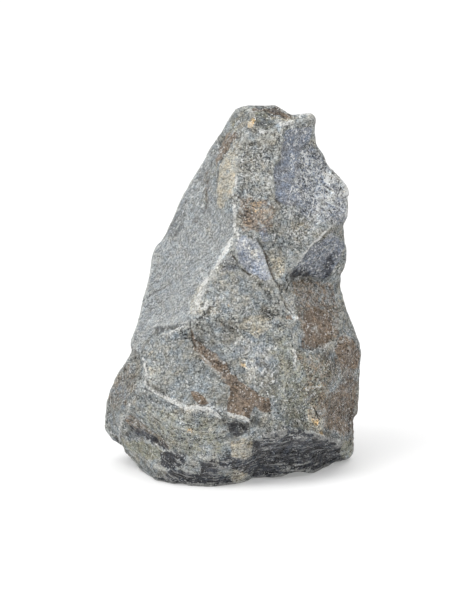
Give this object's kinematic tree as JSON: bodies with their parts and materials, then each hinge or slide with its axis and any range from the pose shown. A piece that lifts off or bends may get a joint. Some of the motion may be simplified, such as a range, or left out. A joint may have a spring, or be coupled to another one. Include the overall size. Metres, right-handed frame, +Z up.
{
  "type": "aquascape stone",
  "caption": "Tall faceted grey stone with a flat foot, stands upright as the main rock of an aquarium layout, terrarium or rock garden.",
  "frame": {"origin": "on the ground under the middle of the stone's bounding box", "axes": "+Z up the stone's height, -Y towards the broad broken face, +X to that face's right as it is looked at"},
  "size_m": [0.1286, 0.0998, 0.1806],
  "materials": {
    "stone": "rough broken metamorphic rock, dry, blue-grey with rust-brown patches and pale worn edges"
  },
  "bodies": {
    "root": {"stone": "stone"}
  },
  "joints": []
}
